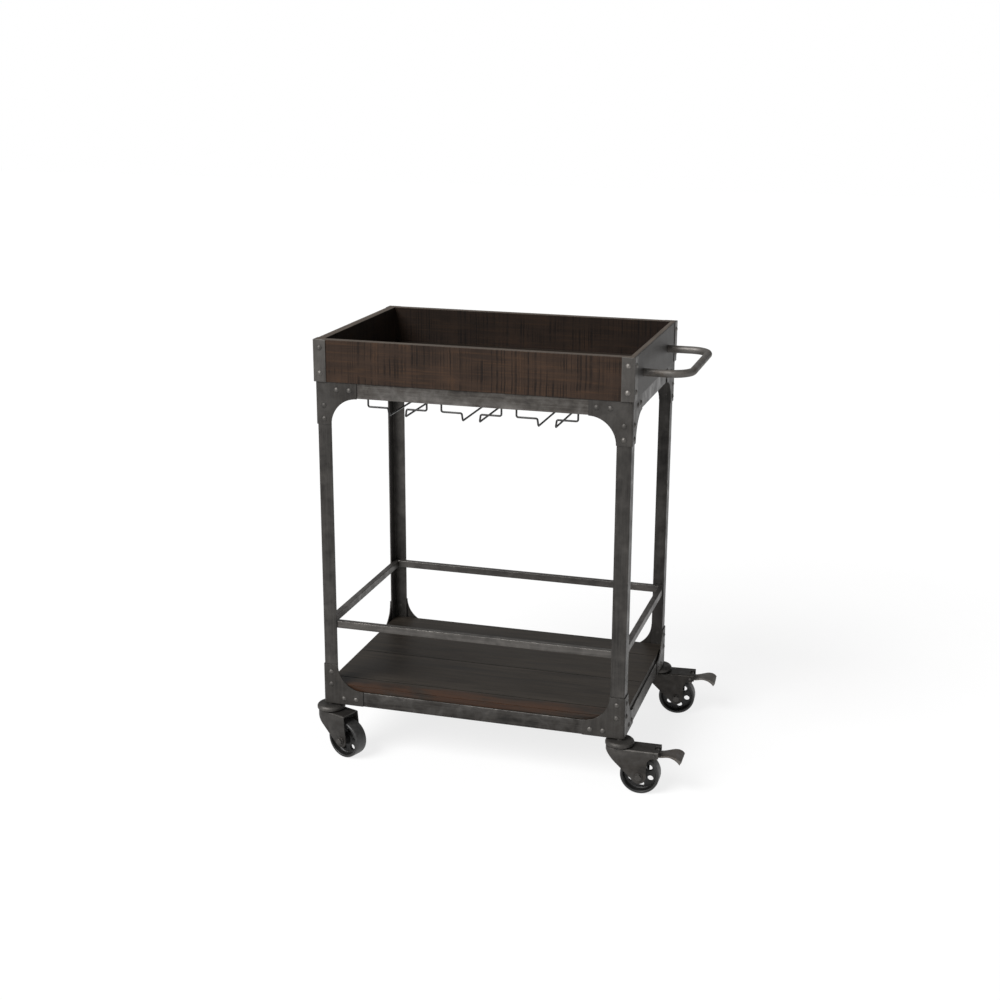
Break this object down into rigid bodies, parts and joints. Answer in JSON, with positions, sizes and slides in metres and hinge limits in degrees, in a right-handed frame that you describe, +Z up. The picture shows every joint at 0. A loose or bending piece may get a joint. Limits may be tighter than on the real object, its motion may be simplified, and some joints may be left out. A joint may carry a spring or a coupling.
{
  "type": "bar cart",
  "caption": "Rectangular industrial bar cart: deep wood tray on a riveted angle-iron frame, guarded lower shelf, wire stemware racks, U push handle, swivel casters with brakes.",
  "frame": {"origin": "middle of the footprint on the floor, under the centre of the bounding box", "axes": "+Z up; +X along the long side towards the push handle; +Y from the front long side to the back"},
  "size_m": [0.8091, 0.5214, 0.917],
  "materials": {
    "frame_steel": "dark warm grey, mottled aged finish",
    "gusset_steel": "dark warm grey, mottled aged finish",
    "bracket_steel": "dark warm grey, rubbed at the edges",
    "rivet_steel": "dark steel, domes rubbed bright",
    "end_plate_steel": "satin dark steel sheet",
    "tray_wood": "dark espresso, rough-sawn band marks",
    "tray_floor_wood": "dark espresso, satin",
    "shelf_wood": "dark espresso, satin, worn front edge",
    "guard_steel": "dark warm grey square tube",
    "wire_steel": "near-black wire",
    "handle_steel": "dark grey satin round bar",
    "screw_steel": "zinc dulled",
    "fork_steel": "aged dark pressed steel",
    "axle_steel": "dull steel",
    "stem_steel": "dull steel",
    "wheel_rubber": "dark grey moulded wheel",
    "brake_steel": "grey-brown pressed steel"
  },
  "bodies": {
    "cart": {"bottom_gussets": "gusset_steel", "bottom_rail_back": "frame_steel", "bottom_rail_front": "frame_steel", "bottom_rail_left": "frame_steel", "bottom_rail_right": "frame_steel", "caster_blocks": "frame_steel", "caster_stems": "stem_steel", "guard_rail_back": "guard_steel", "guard_rail_front": "guard_steel", "guard_rail_left": "guard_steel", "guard_rail_right": "guard_steel", "gusset_rivets": "rivet_steel", "handle_bar": "handle_steel", "handle_bolts": "screw_steel", "leg_front_left": "frame_steel", "leg_front_right": "frame_steel", "leg_rear_left": "frame_steel", "leg_rear_right": "frame_steel", "shelf_plank_1": "shelf_wood", "shelf_plank_2": "shelf_wood", "shelf_plank_3": "shelf_wood", "shelf_plank_4": "shelf_wood", "shelf_screws": "screw_steel", "stemware_rack_centre": "wire_steel", "stemware_rack_left": "wire_steel", "stemware_rack_right": "wire_steel", "top_gussets": "gusset_steel", "top_rail_back": "frame_steel", "top_rail_front": "frame_steel", "top_rail_left": "frame_steel", "top_rail_right": "frame_steel", "tray_back_board": "tray_wood", "tray_bracket_front_left": "bracket_steel", "tray_bracket_front_right": "bracket_steel", "tray_bracket_rear_left": "bracket_steel", "tray_bracket_rear_right": "bracket_steel", "tray_end_plate": "end_plate_steel", "tray_floor_board": "tray_floor_wood", "tray_front_board": "tray_wood", "tray_left_board": "tray_wood", "tray_right_board": "tray_wood", "tray_rivets": "rivet_steel", "tray_screws": "screw_steel"},
    "fork_front_left": {"caster_fork_front_left": "fork_steel", "caster_axle_front_left": "axle_steel"},
    "wheel_front_left": {"caster_wheel_front_left": "wheel_rubber"},
    "brake_front_right": {"brake_lever_front_right": "brake_steel"},
    "fork_front_right": {"caster_fork_front_right": "fork_steel", "caster_axle_front_right": "axle_steel", "brake_pin_front_right": "axle_steel"},
    "wheel_front_right": {"caster_wheel_front_right": "wheel_rubber"},
    "brake_rear_right": {"brake_lever_rear_right": "brake_steel"},
    "fork_rear_right": {"caster_fork_rear_right": "fork_steel", "caster_axle_rear_right": "axle_steel", "brake_pin_rear_right": "axle_steel"},
    "wheel_rear_right": {"caster_wheel_rear_right": "wheel_rubber"},
    "fork_rear_left": {"caster_fork_rear_left": "fork_steel", "caster_axle_rear_left": "axle_steel"},
    "wheel_rear_left": {"caster_wheel_rear_left": "wheel_rubber"}
  },
  "joints": [
    {"name": "swivel_front_left", "type": "hinge", "parent": "cart", "child": "fork_front_left", "pos_m": [-0.37405, -0.2141, 0.1159], "axis": [0, 0, 1], "continuous": true},
    {"name": "wheel_spin_front_left", "type": "hinge", "parent": "fork_front_left", "child": "wheel_front_left", "pos_m": [-0.33129, -0.22966, 0.0413], "axis": [0.342, 0.9397, 0], "continuous": true},
    {"name": "swivel_front_right", "type": "hinge", "parent": "cart", "child": "fork_front_right", "pos_m": [0.26985, -0.2141, 0.1159], "axis": [0, 0, 1], "continuous": true},
    {"name": "wheel_spin_front_right", "type": "hinge", "parent": "fork_front_right", "child": "wheel_front_right", "pos_m": [0.31534, -0.21331, 0.0413], "axis": [-0.0175, 0.9998, 0], "continuous": true},
    {"name": "brake_front_right", "type": "hinge", "parent": "fork_front_right", "child": "brake_front_right", "pos_m": [0.34584, -0.21277, 0.0915], "axis": [-0.0175, 0.9998, 0], "range_deg": [0, 28]},
    {"name": "swivel_rear_right", "type": "hinge", "parent": "cart", "child": "fork_rear_right", "pos_m": [0.26985, 0.2123, 0.1159], "axis": [0, 0, 1], "continuous": true},
    {"name": "wheel_spin_rear_right", "type": "hinge", "parent": "fork_rear_right", "child": "wheel_rear_right", "pos_m": [0.31524, 0.21547, 0.0413], "axis": [-0.0698, 0.9976, 0], "continuous": true},
    {"name": "brake_rear_right", "type": "hinge", "parent": "fork_rear_right", "child": "brake_rear_right", "pos_m": [0.34567, 0.2176, 0.0915], "axis": [-0.0698, 0.9976, 0], "range_deg": [0, 28]},
    {"name": "swivel_rear_left", "type": "hinge", "parent": "cart", "child": "fork_rear_left", "pos_m": [-0.37405, 0.2123, 0.1159], "axis": [0, 0, 1], "continuous": true},
    {"name": "wheel_spin_rear_left", "type": "hinge", "parent": "fork_rear_left", "child": "wheel_rear_left", "pos_m": [-0.33157, 0.22861, 0.0413], "axis": [-0.3584, 0.9336, 0], "continuous": true}
  ]
}
